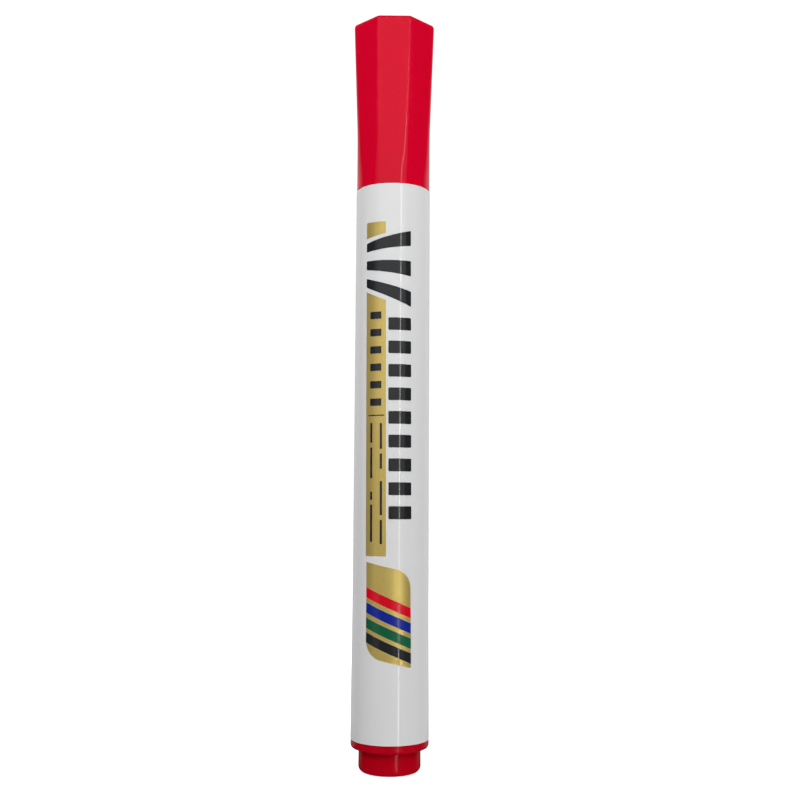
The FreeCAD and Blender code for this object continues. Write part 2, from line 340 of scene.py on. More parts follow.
def moulded(name, colour, worn, rough=(0.10, 0.17), peel=0.10, swirl=0.05, vary=0.05, scratches=0.5, flow=False, rub=0.30, **plain):
    """Glossy moulded plastic: slight colour drift, a faint orange-peel, hairline scratches, dulled and paler on its edges."""
    m = Nodes(name)
    drift = m.noise(55, (1, 1, 0.5), 3.0, 0.55)
    fine = m.noise(900, detail=2.0, shift=(3, 1, 0))
    base = m.mix(m.remap(drift, 0.3, 0.7, 0.0, 1.0, True), times(colour, 1 - vary), times(colour, 1 + vary * 0.6))
    base = m.mix(m.remap(fine, 0.35, 0.65, 0.0, 0.5), base, times(colour, 1 - vary * 0.5))
    if flow:      # faint flow lines of the melt, running along the piece
        lines = m.noise(260, (1, 1, 0.035), 3.0, 0.6, shift=(7, 2, 5))
        base = m.mix(m.remap(lines, 0.45, 0.75, 0.0, 0.35, True), base, times(colour, 1 + vary))
    # hairline scratches: thin ridges of stretched noise, in two directions
    hair_a = m.noise(420, (1.0, 1.0, 0.05), 2.0, 0.5, shift=(11, 5, 2), distortion=0.3)
    hair_b = m.noise(300, (0.09, 0.09, 1.6), 2.0, 0.5, shift=(2, 9, 4), distortion=0.6)
    line_a = m.remap(m.maths("ABSOLUTE", m.maths("SUBTRACT", hair_a, 0.5)), 0.0, 0.006, 1.0, 0.0)
    line_b = m.remap(m.maths("ABSOLUTE", m.maths("SUBTRACT", hair_b, 0.5)), 0.0, 0.004, 1.0, 0.0)
    patch = m.remap(m.noise(70, shift=(4, 4, 1)), 0.5, 0.66, 0.0, 1.0, True)
    hair = m.maths("MULTIPLY", m.maths("MAXIMUM", line_a, line_b), patch)
    # rubbed edges
    edge = m.maths("MULTIPLY", m.wear(), m.remap(m.noise(650, detail=3.0, shift=(1, 8, 3)), 0.38, 0.62, 0.15, 1.0, True))
    base = m.mix(m.maths("MULTIPLY", edge, rub), base, worn)
    low, high = rough
    r = m.remap(m.noise(160, detail=4.0, rough=0.6, shift=(5, 5, 5)), 0.3, 0.7, low, high)
    r = m.maths("ADD", r, m.maths("MULTIPLY", edge, 0.07))
    r = m.maths("ADD", r, m.maths("MULTIPLY", hair, 0.10 * scratches), clamp=True)
    normal = m.bump([
        (m.noise(110, (1, 1, 0.6), 1.0, 0.4, shift=(8, 8, 8)), swirl, 0.00030),
        (m.noise(1500, detail=1.0, shift=(2, 2, 7)), peel, 0.00002),
        (m.maths("SUBTRACT", 1.0, hair), 0.25 * scratches, 0.000006),
    ])
    return m.shader(base, r, normal, **{"Specular IOR Level": 0.25, **plain})


def printed(name, colour, under, rough=(0.07, 0.11)):
    """A transferred ink layer: fine grain, tiny pinholes that show the plastic, and slightly thin ink at its edges."""
    m = Nodes(name)
    grain = m.noise(5200, detail=2.0)
    drift = m.noise(120, (1, 1, 0.6), 2.0, shift=(3, 3, 3))
    base = m.mix(m.remap(drift, 0.3, 0.7, 0.0, 1.0, True), times(colour, 0.90), times(colour, 1.08))
    base = m.mix(m.remap(grain, 0.3, 0.7, 0.0, 0.25), base, times(colour, 1.25))
    holes = m.maths("MULTIPLY", m.remap(m.cells(5200), 0.05, 0.09, 1.0, 0.0), m.remap(m.noise(500, shift=(6, 1, 2)), 0.60, 0.66, 0.0, 1.0))
    base = m.mix(m.maths("MULTIPLY", holes, 0.5), base, under)
    edge = m.maths("MULTIPLY", m.wear(), m.remap(m.noise(1800, detail=3.0, shift=(2, 4, 6)), 0.35, 0.65, 0.0, 0.30, True))
    base = m.mix(edge, base, under)
    r = m.remap(m.noise(420, detail=3.0, shift=(9, 0, 3)), 0.3, 0.7, rough[0], rough[1])
    normal = m.bump([(grain, 0.05, 0.000006)])
    return m.shader(base, r, normal, **{"Specular IOR Level": 0.50})


def foil(name, light, dark, under):
    """Satin gold foil: brushed along the barrel, with fine flake and a few rubbed spots."""
    m = Nodes(name)
    brushed = m.noise(700, (1, 1, 0.03), 3.0, 0.6)
    flake = m.noise(3200, detail=1.0, shift=(1, 5, 2))
    base = m.mix(m.remap(brushed, 0.3, 0.7, 0.0, 1.0, True), dark, light)
    base = m.mix(m.remap(flake, 0.3, 0.7, 0.0, 0.45), base, times(light, 1.08))
    edge = m.maths("MULTIPLY", m.wear(), m.remap(m.noise(1400, detail=3.0, shift=(2, 4, 6)), 0.38, 0.66, 0.0, 0.35, True))
    base = m.mix(edge, base, under)
    r = m.remap(m.noise(430, (1, 1, 0.10), 1.0), 0.3, 0.7, 0.35, 0.45)
    normal = m.bump([(m.noise(900, (1, 1, 0.05), 1.0), 0.06, 0.000010)])
    return m.shader(base, r, normal, Metallic=0.64)


def fibre(name, light, dark, along=0.02, scale=1500, rough=(0.62, 0.85), bump=0.55, **plain):
    """Bonded fibre: fine strands along the axis, pores between them darkened with painted shade, soaked with ink."""
    m = Nodes(name)
    strand = m.noise(scale, (1, 1, along), 3.0, 0.6)
    clump = m.noise(scale * 0.25, (1, 1, 0.15), 2.0, 0.5, shift=(3, 0, 1))
    pores_and_painted_shade = m.remap(m.cells(scale * 1.2, (1, 1, 0.25)), 0.10, 0.35, 1.0, 0.0)
    base = m.mix(m.remap(strand, 0.35, 0.65, 0.0, 1.0, True), dark, light)
    base = m.mix(m.remap(clump, 0.35, 0.65, 0.0, 0.5, True), base, dark)
    # painted shade: the pores between the strands are darkened
    base = m.mix(m.maths("MULTIPLY", pores_and_painted_shade, 0.5), base, times(dark, 0.6))
    base = m.mix(m.maths("MULTIPLY", m.wear(), m.remap(clump, 0.4, 0.6, 0.1, 0.35)), base, times(light, 1.25))
    r = m.remap(strand, 0.3, 0.7, rough[0], rough[1])
    normal = m.bump([(strand, bump, 0.00006), (m.maths("SUBTRACT", 1.0, pores_and_painted_shade), bump * 0.5, 0.00003)])
    return m.shader(base, r, normal, **plain)


RED = (0.70, 0.0008, 0.0235)
PLUG = (0.49, 0.0006, 0.0102)
WHITE = (0.800, 0.800, 0.800)
MAT = {
    "cap_red": moulded("cap_red", RED, (0.80, 0.020, 0.045), rough=(0.055, 0.090), swirl=0.022, flow=True, rub=0.22),
    "plug_red": moulded("plug_red", PLUG, (0.60, 0.012, 0.028), rough=(0.12, 0.17), swirl=0.03, rub=0.15),
    "barrel_white": moulded("barrel_white", WHITE, (0.86, 0.86, 0.855), rough=(0.045, 0.070), peel=0.008, swirl=0.010, vary=0.010, scratches=0.5, **{"Specular IOR Level": 0.50}),
    "holder_white": moulded("holder_white", (0.80, 0.80, 0.785), (0.86, 0.85, 0.84), rough=(0.26, 0.36), vary=0.03),
    "liner_natural": moulded("liner_natural", (0.72, 0.72, 0.69), (0.82, 0.82, 0.80), rough=(0.36, 0.48), vary=0.05, peel=0.2, swirl=0.10),
    "nib_fibre": fibre("nib_fibre", (0.40, 0.006, 0.012), (0.16, 0.002, 0.005), scale=2600, along=0.03, rough=(0.50, 0.75), bump=0.40),
    "reservoir_fibre": fibre("reservoir_fibre", (0.50, 0.02, 0.03), (0.24, 0.006, 0.010), scale=1500),
    "film_clear": moulded("film_clear", (0.80, 0.78, 0.78), (0.9, 0.9, 0.9), rough=(0.06, 0.14), vary=0.04, peel=0.05, swirl=0.30, Alpha=0.45),
    "print_black": printed("print_black", (0.0185, 0.0197, 0.0217), WHITE),
    "print_red": printed("print_red", (0.66, 0.0030, 0.016), WHITE, (0.15, 0.20)),
    "print_blue": printed("print_blue", (0.007, 0.022, 0.285), WHITE, (0.15, 0.20)),
    "print_green": printed("print_green", (0.0085, 0.115, 0.050), WHITE, (0.15, 0.20)),
    "print_gold": foil("print_gold", (0.95, 0.715, 0.218), (0.87, 0.640, 0.178), WHITE),
}


def piece(ob, slot, body, node=None):
    ob.data.materials.clear()
    ob.data.materials.append(MAT[slot])
    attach(ob, body)
    if node:
        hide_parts(node)
    return ob


# ================================================================ rear plug
def hollow(r_edge, depth, z, up, nub_r, nub_h):
    """Profile points of a shallow round gate mark with the stub of its gate, from the axis outwards at the bottom
    of a piece. up says that it is sunk into the piece from below."""
    ball = (r_edge * r_edge + depth * depth) / (2 * depth)
    s = 1 if up else -1
    rows = []
    for t in np.linspace(0, 1, 7):
        r = nub_r + 0.05 + (r_edge - nub_r - 0.05) * t
        rows.append((r, z + s * (depth - (ball - math.sqrt(ball * ball - r * r)))))
    floor = z + s * depth
    return [(0.0, floor - s * nub_h), (nub_r * 0.8, floor - s * nub_h * 0.9, 0.03), (nub_r, floor - s * 0.01, 0.0)] + \
           [(r, h, 0.0) for r, h in rows]


plug = Rings(144)
turned(plug, hollow(1.1, 0.25, 0.0, True, 0.38, 0.07) + [
    (5.60, 0, 1.0), (5.60, 4.20, 0.35), (7.05, 4.20, 0.60), (7.05, 5.68, 0.06), (5.74, 5.68, 0),
    (5.74, 7.9, 0), (5.86, 8.2, 0.08), (5.86, 8.6, 0.08), (5.74, 8.9, 0), (5.74, 11.3, 0), (5.86, 11.6, 0.08),
    (5.86, 12.0, 0.08), (5.74, 12.3, 0), (5.74, 15.2, 0.2), (5.29, 15.90, 0.1), (4.55, 15.90, 0.1),
    (4.45, 1.30, 0.4), (0, 1.30, 0)], even(144), turn=9.0)
t, reach = 0.4, 4.62
plug.prism([(t, t), (t, reach), (-t, reach), (-t, t), (-reach, t), (-reach, -t), (-t, -t), (-t, -reach),
            (t, -reach), (t, -t), (reach, -t), (reach, t)][::1], 6.0, 15.88)
piece(plug.make("rear_plug"), "plug_red", "pen", "end_plug")

# ================================================================ barrel
BORE, RIB_TIP = 5.80, 5.26
theta = sectors(6, [-4.05, -3.55, -1.8, 0, 1.8, 3.55, 4.05], 0.0, 20)
on_rib = np.abs(((theta / RAD + 30) % 60) - 30) < 3.6


def ribbed(r, z):
    if abs(r - BORE) < 1e-6 and 21.0 < z < 99.0:
        return np.where(on_rib, RIB_TIP, BORE)
    return None


barrel = Rings(len(theta))
turned(barrel, [
    (7.07, 5.68, 0.08), (7.07, 12.0, 0), (6.92, 38.0, 0), (6.92, 106.17, 0.12), (5.62, 106.17, 0.15),
    (5.62, 109.35, 0.3), (5.70, 109.85, 0.3), (5.70, 110.35, 0.3), (5.62, 110.85, 0.3), (5.62, 113.85, 0.1),
    (5.32, 114.20, 0.05), (4.85, 114.20, 0.05), (4.85, 104.85, 0), (5.80, 103.90, 0),
    (5.80, 99.2, 0), (5.80, 98.9, 0), (5.80, 21.1, 0), (5.80, 20.8, 0), (5.80, 5.68, 0.10)],
    theta, closed=True, shape=ribbed)
piece(barrel.make("barrel_tube"), "barrel_white", "pen", "barrel")

# ================================================================ nib holder
theta = sectors(4, [-4.1, -3.7, -1.8, 0, 1.8, 3.7, 4.1], 45.0, 24)
in_groove = np.abs(((theta / RAD - 45 + 45) % 90) - 45) < 3.8


def grooved(r, z):
    if 4.4 < r < 4.95 and z < 114.1 and r > 3.9:
        return np.where(in_groove, min(r, 4.50), r)
    return None


holder = Rings(len(theta))
turned(holder, [
    (3.60, 103.80, 0), (4.45, 103.80, 0), (4.80, 104.60, 0), (4.80, 108.2, 0), (4.90, 108.5, 0), (4.90, 109.1, 0),
    (4.80, 109.4, 0), (4.80, 114.05, 0), (4.80, 114.20, 0), (5.00, 114.20, 0), (5.00, 115.20, 0.30),
    (4.35, 115.20, 0.20), (3.62, 116.60, 0.30), (3.62, 121.40, 0.60), (2.98, 125.00, 0.22), (2.41, 125.00, 0.10),
    (2.41, 110.00, 0), (3.60, 109.20, 0)], theta, closed=True, shape=grooved)
piece(holder.make("nib_holder_front"), "holder_white", "pen", "nib_holder")

# ================================================================ nib
slope = 32.0 * RAD
TIP_R, TIP, NIB_R, SHOULDER = 1.15, 130.60, 2.40, 2.0
tip_centre = TIP - TIP_R
touch_r, touch_z = TIP_R * math.cos(slope), tip_centre + TIP_R * math.sin(slope)
shoulder_z = touch_z - (NIB_R - touch_r) / math.tan(slope)
nib = Rings(96)
nib_points = [(0, 95.80), (0.55, 95.80, 0.1), (1.75, 98.00, 0.3), (1.75, 106.0, 0), (2.40, 107.4, 0.3), (2.40, shoulder_z, SHOULDER),
              (touch_r, touch_z, 0)]
for a in np.linspace(slope, math.pi / 2, 12)[1:-1]:
    nib_points.append((TIP_R * math.cos(a), tip_centre + TIP_R * math.sin(a), 0))
nib_points.append((0, TIP))
turned(nib, nib_points, even(96), turn=6.0, longest=1.0)
nib_ob = piece(nib.make("bullet_nib"), "nib_fibre", "pen", "nib")

# ================================================================ reservoir and film
core = Rings(96)
turned(core, [(0, 15.95), (5.08, 15.95, 0.25), (5.08, 103.75, 0.25), (1.76, 103.75, 0.1), (1.76, 97.95, 0), (0.56, 95.75, 0), (0, 95.75)],
       even(96))
piece(core.make("ink_core"), "reservoir_fibre", "pen", "reservoir")
film = Rings(96)
turned(film, [(5.10, 16.45, 0), (5.22, 16.45, 0.03), (5.22, 103.25, 0.03), (5.10, 103.25, 0)], even(96), closed=True)
piece(film.make("core_film"), "film_clear", "pen", "reservoir_film")

# ================================================================ inner cap
liner = Rings(120)
turned(liner, [
    (0, 135.60), (3.95, 135.60, 0.50), (3.95, 121.10, 0), (3.70, 120.60, 0), (3.70, 117.30, 0), (3.95, 117.00, 0.05),
    (5.24, 117.00, 0.12), (5.24, 119.60, 0.1), (4.85, 120.10, 0.1), (4.85, 132.90, 0.1), (5.24, 133.40, 0.1),
    (5.24, 136.40, 0.40), (0, 136.40)], even(120))
piece(liner.make("inner_cap_liner"), "liner_natural", "cap_liner", "inner_cap")

# ================================================================ cap shell
STATIONS = [
    (106.20, 6.860, 6.700), (107.60, 6.850, 6.580), (109.00, 6.840, 6.200), (110.40, 6.830, 5.350),
    (111.90, 6.820, 4.400), (113.80, 6.810, 3.550), (115.70, 6.815, 3.020), (117.70, 6.845, 2.620),
    (119.60, 6.905, 2.300), (121.90, 6.985, 1.960), (124.50, 7.075, 1.680), (127.50, 7.175, 1.420),
    (131.00, 7.300, 1.190), (134.40, 7.420, 1.040), (138.00, 7.543, 0.950)]
HALF = math.pi / 8
TOP, CROWN = 138.0, 0.70


def spline(xs, ys):
    """Natural cubic through the points; returns f(x) -> (value, slope)."""
    xs, ys = np.array(xs, float), np.array(ys, float)
    n = len(xs)
    h = np.diff(xs)
    a = np.zeros((n, n))
    b = np.zeros(n)
    a[0, 0] = a[-1, -1] = 1
    for i in range(1, n - 1):
        a[i, i - 1], a[i, i], a[i, i + 1] = h[i - 1], 2 * (h[i - 1] + h[i]), h[i]
        b[i] = 6 * ((ys[i + 1] - ys[i]) / h[i] - (ys[i] - ys[i - 1]) / h[i - 1])
    m = np.linalg.solve(a, b)

    def f(x):
        i = int(min(max(np.searchsorted(xs, x) - 1, 0), n - 2))
        t, u = x - xs[i], xs[i + 1] - x
        value = (m[i] * u ** 3 + m[i + 1] * t ** 3) / (6 * h[i]) + (ys[i] / h[i] - m[i] * h[i] / 6) * u + (ys[i + 1] / h[i] - m[i + 1] * h[i] / 6) * t
        rate = (-m[i] * u ** 2 + m[i + 1] * t ** 2) / (2 * h[i]) - (ys[i] / h[i] - m[i] * h[i] / 6) + (ys[i + 1] / h[i] - m[i + 1] * h[i] / 6)
        return value, rate

    return f


apothem_at = spline([s[0] for s in STATIONS], [s[1] for s in STATIONS])
corner_at = spline([s[0] for s in STATIONS], [s[2] for s in STATIONS])
ARC = 14
columns = []        # (facet, place on the flat or None, direction of the section's normal)
for k in range(8):
    phi = -math.pi / 2 + 2 * HALF * k
    for place in (-1.0, -0.4, 0.4, 1.0):
        columns.append((k, place, phi))
    for s in range(1, ARC):
        columns.append((k, None, phi + 2 * HALF * s / ARC))
N = len(columns)
direction = np.array([c[2] for c in columns])
unit = np.stack([np.cos(direction), np.sin(direction)], 1)


def section(a, c):
    out = np.zeros((N, 2))
    flat = (a - c) * math.tan(HALF)
    for i, (k, place, phi) in enumerate(columns):
        base = -math.pi / 2 + 2 * HALF * k
        if place is not None:
            out[i] = a * np.array([math.cos(base), math.sin(base)]) + place * flat * np.array([-math.sin(base), math.cos(base)])
        else:
            mid = base + HALF
            out[i] = (a - c) / math.cos(HALF) * np.array([math.cos(mid), math.sin(mid)]) + c * np.array([math.cos(phi), math.sin(phi)])
    return out


def lift(da, dc):
    """Upward part of the wall's normal where the half width and the corner radius change with height."""
    out = np.zeros(N)
    for i, (k, place, phi) in enumerate(columns):
        base = -math.pi / 2 + 2 * HALF * k
        if place is not None:
            out[i] = -da
        else:
            out[i] = -(dc + (da - dc) * math.cos(phi - base - HALF) / math.cos(HALF))
    return out


def wall_normal(da, dc, tilt=0.0):
    """tilt turns the wall's normal towards +Z, in radians."""
    v = np.concatenate([unit, lift(da, dc)[:, None]], 1)
    v /= np.linalg.norm(v, axis=1)[:, None]
    if tilt:
        flat = np.linalg.norm(v[:, :2], axis=1)
        ang = np.arctan2(v[:, 2], flat) + tilt
        v = np.concatenate([unit * np.cos(ang)[:, None], np.sin(ang)[:, None]], 1)
    return v


corner_share = np.array([0.0 if c[1] is not None and abs(c[1]) < 0.9 else (0.35 if c[1] is not None else 1.0) for c in columns])
mouth = section(*[STATIONS[0][1], STATIONS[0][2]])
polar = np.unwrap(np.arctan2(mouth[:, 1], mouth[:, 0]))

cap = Rings(N)
index = turned(cap, [
    (0, 136.60), (5.30, 136.60, 0.30), (5.30, 116.75, 0), (5.10, 116.55, 0), (5.10, 116.35, 0), (5.30, 116.15, 0),
    (5.30, 115.80, 0), (5.76, 115.34, 0), (5.76, 111.05, 0), (5.86, 110.45, 0), (5.86, 109.75, 0), (5.76, 109.15, 0),
    (5.76, 106.55, 0.1), (6.01, 106.20, 0)], polar)
last = index[-1]
# mouth: flat ring, then a small rounding up to the wall
LIP = 0.12
down = np.tile([0.0, 0.0, -1.0], (N, 1))
previous, previous_normal = None, down
for s in range(0, 5):
    t = s / 4 * math.pi / 2
    inset, z = LIP * (1 - math.sin(t)), STATIONS[0][0] + LIP * (1 - math.cos(t))
    a, da = apothem_at(z)
    c, dc = corner_at(z)
    now = cap.ring(np.concatenate([section(a - inset, c - inset), np.full((N, 1), z)], 1), 1.0)
    normal = np.concatenate([unit * math.sin(t), np.full((N, 1), -math.cos(t))], 1)
    if previous is None:
        cap.band(last, now, down, down)
    else:
        cap.band(previous, now, previous_normal, normal)
    previous, previous_normal = now, normal
# wall
a_top, da_top = apothem_at(TOP)
c_top, dc_top = corner_at(TOP)
draft = math.atan(da_top)
crown_z = TOP - CROWN - CROWN * math.sin(draft)
heights = np.concatenate([[STATIONS[0][0] + LIP + 0.25], np.linspace(STATIONS[0][0] + LIP + 0.8, crown_z - 0.4, 54), [crown_z]])
first = True
for z in heights:
    a, da = apothem_at(z)
    c, dc = corner_at(z)
    sharp = max(0.0, min(1.0, (3.4 - c) / 1.8))
    wear = corner_share * sharp * 0.8
    if z == crown_z:
        wear = np.maximum(wear, 0.9)
    now = cap.ring(np.concatenate([section(a, c), np.full((N, 1), z)], 1), wear)
    normal = wall_normal(da, dc)
    cap.band(previous, now, previous_normal, normal)
    previous, previous_normal = now, normal
# crown: a rolling-ball rounding between the walls and the end face
steps = 9
a0, da0 = apothem_at(crown_z)
c0, dc0 = corner_at(crown_z)
wall_tilt = -math.atan(da0)
for s in range(1, steps + 1):
    t = wall_tilt + (math.pi / 2 - wall_tilt) * s / steps
    inset = CROWN * (math.cos(wall_tilt) - math.cos(t))
    z = crown_z + CROWN * (math.sin(t) - math.sin(wall_tilt))
    now = cap.ring(np.concatenate([section(a0 - inset, c0 - inset), np.full((N, 1), z)], 1), 1.0 if s < steps else 0.8)
    normal = np.concatenate([unit * math.cos(t), np.full((N, 1), math.sin(t))], 1)
    cap.band(previous, now, previous_normal, normal)
    previous, previous_normal = now, normal
end_z, end_ring = z, section(a0 - inset, c0 - inset)
up = np.tile([0.0, 0.0, 1.0], (N, 1))
inward = hollow(1.3, 0.22, TOP, False, 0.42, 0.07)[::-1]
for share in (0.12, 0.4, 0.7):
    goal = np.stack([1.3 * np.cos(polar), 1.3 * np.sin(polar)], 1)
    now = cap.ring(np.concatenate([end_ring * (1 - share) + goal * share, np.full((N, 1), end_z)], 1), 0.0)
    cap.band(previous, now, up, up)
    previous = now
dish = [(p[0], p[1] + end_z - TOP, *p[2:]) for p in inward]
stations, bands = spans(dish, False)
index = []
for r, z, wear in stations:
    index.append(cap.ring([[0.0, 0.0, z]] if r < 1e-9 else circle(r, z, polar), wear))
cap.band(previous, index[0], up, up)
for i, j, ni, nj in bands:
    cap.band(index[i], index[j], around(ni, polar), around(nj, polar))
piece(cap.make("cap_body"), "cap_red", "cap", "cap_shell")

# ================================================================ print on the barrel
SKEW = 0.060        # degrees per millimetre: the print runs at a slight slant to the axis


def barrel_r(z):
    if z >= 38.0:
        return 6.92
    return 7.07 if z <= 12 else 7.07 + (z - 12.0) / 26.0 * (6.92 - 7.07)


class Print:
    """Thin closed ink shells that follow the barrel. u is the angle in degrees from the middle of the front."""

    def __init__(self, height):
        self.height = height
        self.co, self.wear, self.faces, self.normals = [], [], [], []

    def place(self, u, z, h):
        a = -math.pi / 2 + RAD * (u - SKEW * (z - 40.0))
        r = barrel_r(z) + h
        return [r * math.cos(a), r * math.sin(a), z], [math.cos(a), math.sin(a), 0.0]

    def patch(self, us, lows, highs, longest=2.5):
        us = list(us)
        tall = max(h - l for l, h in zip(lows, highs))
        edge = min(0.25, 0.07 / tall)
        shares = np.concatenate([[0], np.linspace(edge, 1 - edge, max(2, int(math.ceil(tall / longest)) + 1)), [1]])
        m, n = len(us), len(shares)
        base = len(self.co)
        outward = []
        for layer, h in ((0, self.height), (1, -0.012)):
            for i in range(m):
                for j in range(n):
                    z = lows[i] + (highs[i] - lows[i]) * shares[j]
                    p, v = self.place(us[i], z, h)
                    self.co.append(p)
                    rim = i in (0, m - 1) or j in (0, n - 1)
                    self.wear.append(1.0 if rim else 0.0)
                    if layer == 0:
                        outward.append(v)

        def at(layer, i, j):
            return base + layer * m * n + i * n + j

        for i in range(m - 1):
            for j in range(n - 1):
                self.faces.append((at(0, i, j), at(0, i + 1, j), at(0, i + 1, j + 1), at(0, i, j + 1)))
                for a, b in ((i, j), (i + 1, j), (i + 1, j + 1), (i, j + 1)):
                    self.normals.append(outward[a * n + b])
                self.faces.append((at(1, i, j), at(1, i, j + 1), at(1, i + 1, j + 1), at(1, i + 1, j)))
                for a, b in ((i, j), (i, j + 1), (i + 1, j + 1), (i + 1, j)):
                    v = outward[a * n + b]
                    self.normals.append([-v[0], -v[1], 0.0])
        rim = [(i, 0) for i in range(m - 1)] + [(m - 1, j) for j in range(n - 1)] + \
              [(i, n - 1) for i in range(m - 1, 0, -1)] + [(0, j) for j in range(n - 1, 0, -1)]
        for k in range(len(rim)):
            a, b = rim[k], rim[(k + 1) % len(rim)]
            face = (at(0, *a), at(1, *a), at(1, *b), at(0, *b))
            self.faces.append(face)
            p = [np.array(self.co[i]) for i in face]
            v = np.cross(p[1] - p[0], p[3] - p[0])
            v = v / max(np.linalg.norm(v), 1e-12)
            self.normals.extend([v.tolist()] * 4)

    def strip(self, u0, u1, low, high, rounding=0.0, corners="abcd", step=1.4):
        """A strip from u0 to u1 whose lower and upper edges are low(u) and high(u). corners: a lower left, b lower right,
        c upper right, d upper left; those named are rounded."""
        low = low if callable(low) else (lambda u, v=low: v)
        high = high if callable(high) else (lambda u, v=high: v)
        to_mm = RAD * barrel_r(low(u0))
        us = set(np.linspace(u0, u1, max(2, int(math.ceil((u1 - u0) / step)) + 1)).tolist())
        if rounding:
            for t in np.linspace(0, math.pi / 2, 7):
                s = rounding * (1 - math.cos(t)) / to_mm
                us |= {u0 + s, u1 - s}
        rim = min(0.07 / to_mm, (u1 - u0) * 0.25)
        us = sorted(us | {u0 + rim, u1 - rim})
        kept = [us[0]]
        for u in us[1:]:
            if u - kept[-1] > 0.02:
                kept.append(u)
        if u1 - kept[-1] > 1e-9:
            kept[-1] = u1
        lows, highs = [], []
        for u in kept:
            l, h = low(u), high(u)
            for side, s in (("left", (u - u0) * to_mm), ("right", (u1 - u) * to_mm)):
                if rounding and s < rounding:
                    cut = rounding - math.sqrt(max(0.0, rounding ** 2 - (rounding - s) ** 2))
                    if ("a" if side == "left" else "b") in corners:
                        l += cut
                    if ("d" if side == "left" else "c") in corners:
                        h -= cut
            lows.append(l)
            highs.append(h)
        self.patch(kept, lows, highs)

    def make(self, name):
        mesh = bpy.data.meshes.new(name)
        mesh.from_pydata((np.array(self.co) * MM).tolist(), [], self.faces)
        attribute = mesh.attributes.new("wear", "FLOAT", "POINT")
        attribute.data.foreach_set("value", np.array(self.wear, np.float32))
        mesh.polygons.foreach_set("use_smooth", [True] * len(mesh.polygons))
        mesh.normals_split_custom_set(self.normals)
        mesh.update()
        ob = bpy.data.objects.new(name, mesh)
        bpy.context.scene.collection.objects.link(ob)
        return ob


def slant(u0, z0, u1, z1):
    return lambda u: z0 + (z1 - z0) * (u - u0) / (u1 - u0)


LEFT, GOLD_RIGHT, RIGHT = -40.1, -7.3, 31.5
gold = Print(0.020)
gold.strip(LEFT, GOLD_RIGHT, slant(LEFT, 95.95, GOLD_RIGHT, 96.85), 99.0, 0.12, "cd")
gold.strip(LEFT, GOLD_RIGHT, 38.37, slant(LEFT, 86.10, GOLD_RIGHT, 84.35), 0.12, "ab")
panel_low = slant(-38.6, 20.9, 29.8, 18.95)
panel_high = slant(-38.8, 37.35, 29.8, 35.55)
gold.strip(-38.8, 29.9, panel_low, panel_high, 2.7, "ac")
piece(gold.make("print_gold_foil"), "print_gold", "pen")

black = Print(0.034)
fan_high, fan_low = slant(LEFT, 95.10, RIGHT, 97.35), slant(LEFT, 86.95, RIGHT, 83.25)
for a, b in ((0.0, 0.2), (0.4, 0.6), (0.8, 1.0)):
    black.strip(LEFT, RIGHT,
                lambda u, b=b: fan_high(u) + (fan_low(u) - fan_high(u)) * b,
                lambda u, a=a: fan_high(u) + (fan_low(u) - fan_high(u)) * a, 0.18)
for k in range(9):      # nine plain bars
    z = 81.2 - 2.3 - 4.2475 * k
    black.strip(-3.6, RIGHT, z, z + 2.3, 0.20)
for k in range(6):      # six small bars on the foil
    z = 82.33 - 1.35 - 3.166 * k
    black.strip(-32.8, -14.3, z, z + 1.35, 0.12)
black.strip(-36.0, -9.8, 63.34, 63.56)
for u, rows in ((-14.9, ((62.05, 57.4), (56.6, 53.85), (51.7, 45.6), (44.8, 40.5))),
                (-30.6, ((62.1, 58.5), (57.7, 52.15), (49.8, 48.3), (47.5, 40.9)))):
    for high, low in rows:
        black.strip(u - 1.75, u + 1.75, low, high, 0.10)
stripes = Print(0.034)
tilt = -0.053
for ink, z in ((None, 20.55), ("green", 23.10), ("blue", 25.75), ("red", 28.42)):
    target = black if ink is None else Print(0.034)
    middle = slant(-38.6, z + 68.6 * -tilt, 30.0, z)
    target.strip(-38.6, 30.1, lambda u: middle(u) - 0.90, lambda u: middle(u) + 0.90)
    if ink:
        piece(target.make("print_%s_stripe" % ink), "print_" + ink, "pen")
piece(black.make("print_black_marks"), "print_black", "pen")

# ================================================================ studio
scene = bpy.context.scene
FLOOR_R = 1.6


def plane(name, corners, material=None):
    mesh = bpy.data.meshes.new(name)
    mesh.from_pydata(corners, [], [tuple(range(len(corners)))])
    ob = bpy.data.objects.new(name, mesh)
    scene.collection.objects.link(ob)
    if material:
        mesh.materials.append(material)
    return ob


# floor: pale and glowing, with a painted shadow round the marker where its glow is lower, and clean white further out
m = Nodes("floor_pale_painted_shadow")
place = m.new("ShaderNodeTexCoord")
length = m.new("ShaderNodeVectorMath", operation="LENGTH")
m.link(place.outputs["Object"], length.inputs[0])
# painted shadow: the floor's glow is dimmer close to the marker and brighter further out
glow = m.remap(length.outputs["Value"], 0.012, 0.16, 0.62, 1.05, True)
diffuse = m.new("ShaderNodeBsdfDiffuse")
diffuse.inputs["Color"].default_value = (0.85, 0.85, 0.85, 1)
emit = m.new("ShaderNodeEmission")
m.link(glow, emit.inputs["Strength"])
both = m.new("ShaderNodeAddShader")
m.link(diffuse.outputs[0], both.inputs[0])
m.link(emit.outputs[0], both.inputs[1])
m.link(both.outputs[0], m.out.inputs["Surface"])
floor = plane("floor", [(FLOOR_R * math.cos(a), FLOOR_R * math.sin(a), 0) for a in even(64)], m.mat)
floor.visible_diffuse = floor.visible_glossy = floor.visible_shadow = False

